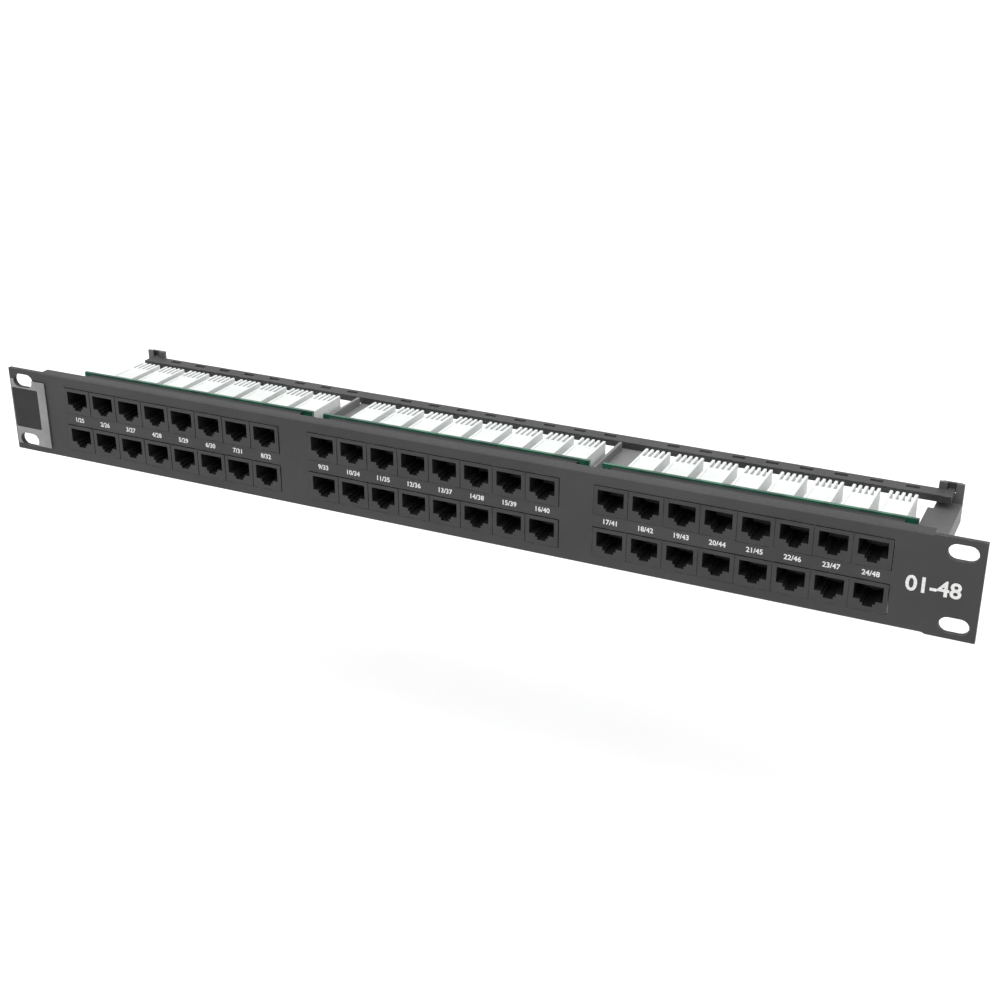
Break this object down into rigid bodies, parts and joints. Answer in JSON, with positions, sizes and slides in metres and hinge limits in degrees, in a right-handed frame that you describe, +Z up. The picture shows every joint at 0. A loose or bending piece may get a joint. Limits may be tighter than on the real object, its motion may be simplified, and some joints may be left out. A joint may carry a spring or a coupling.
{
  "type": "patch panel",
  "caption": "Rack-mounted patch panel with rows of modular sockets in front, punch-down blocks on boards behind, and a lift-off rear cable bar.",
  "frame": {"origin": "centre of the plane on which the two ears seat against the rack's rails", "axes": "+X to the right seen from the front, +Y to the rear into the rack, +Z up"},
  "size_m": [0.4826, 0.0879, 0.0436],
  "materials": {
    "panel_steel": "satin",
    "socket_plastic": "satin",
    "carrier_plastic": "matte",
    "board_laminate": "gloss",
    "block_plastic": "satin",
    "bracket_steel": "satin",
    "fastener_steel": "satin",
    "label_film": "matte",
    "contact_metal": "polished"
  },
  "bodies": {
    "panel": {"arm_nut_left_lower": "fastener_steel", "arm_nut_left_upper": "fastener_steel", "arm_nut_right_lower": "fastener_steel", "arm_nut_right_upper": "fastener_steel", "board_screw_lower_left": "fastener_steel", "board_screw_lower_middle": "fastener_steel", "board_screw_lower_right": "fastener_steel", "board_screw_upper_left": "fastener_steel", "board_screw_upper_middle": "fastener_steel", "board_screw_upper_right": "fastener_steel", "centre_rib_left": "bracket_steel", "centre_rib_right": "bracket_steel", "circuit_board_left": "board_laminate", "circuit_board_middle": "board_laminate", "circuit_board_right": "board_laminate", "contact_carrier_lower_left": "carrier_plastic", "contact_carrier_lower_middle": "carrier_plastic", "contact_carrier_lower_right": "carrier_plastic", "contact_carrier_upper_left": "carrier_plastic", "contact_carrier_upper_middle": "carrier_plastic", "contact_carrier_upper_right": "carrier_plastic", "front_panel": "panel_steel", "idc_block_01": "block_plastic", "idc_block_02": "block_plastic", "idc_block_03": "block_plastic", "idc_block_04": "block_plastic", "idc_block_05": "block_plastic", "idc_block_06": "block_plastic", "idc_block_07": "block_plastic", "idc_block_08": "block_plastic", "idc_block_09": "block_plastic", "idc_block_10": "block_plastic", "idc_block_11": "block_plastic", "idc_block_12": "block_plastic", "idc_block_13": "block_plastic", "idc_block_14": "block_plastic", "idc_block_15": "block_plastic", "idc_block_16": "block_plastic", "idc_block_17": "block_plastic", "idc_block_18": "block_plastic", "idc_block_19": "block_plastic", "idc_block_20": "block_plastic", "idc_block_21": "block_plastic", "idc_block_22": "block_plastic", "idc_block_23": "block_plastic", "idc_block_24": "block_plastic", "label_plate": "label_film", "rib_nut_left": "fastener_steel", "rib_nut_right": "fastener_steel", "side_arm_left": "bracket_steel", "side_arm_right": "bracket_steel", "socket_row_lower_left": "socket_plastic", "socket_row_lower_middle": "socket_plastic", "socket_row_lower_right": "socket_plastic", "socket_row_upper_left": "socket_plastic", "socket_row_upper_middle": "socket_plastic", "socket_row_upper_right": "socket_plastic"},
    "bar": {"cable_bar": "bracket_steel"}
  },
  "joints": [
    {"name": "bar_lift", "type": "slide", "parent": "panel", "child": "bar", "axis": [0, 0, 1], "range_m": [0, 0.025]}
  ]
}
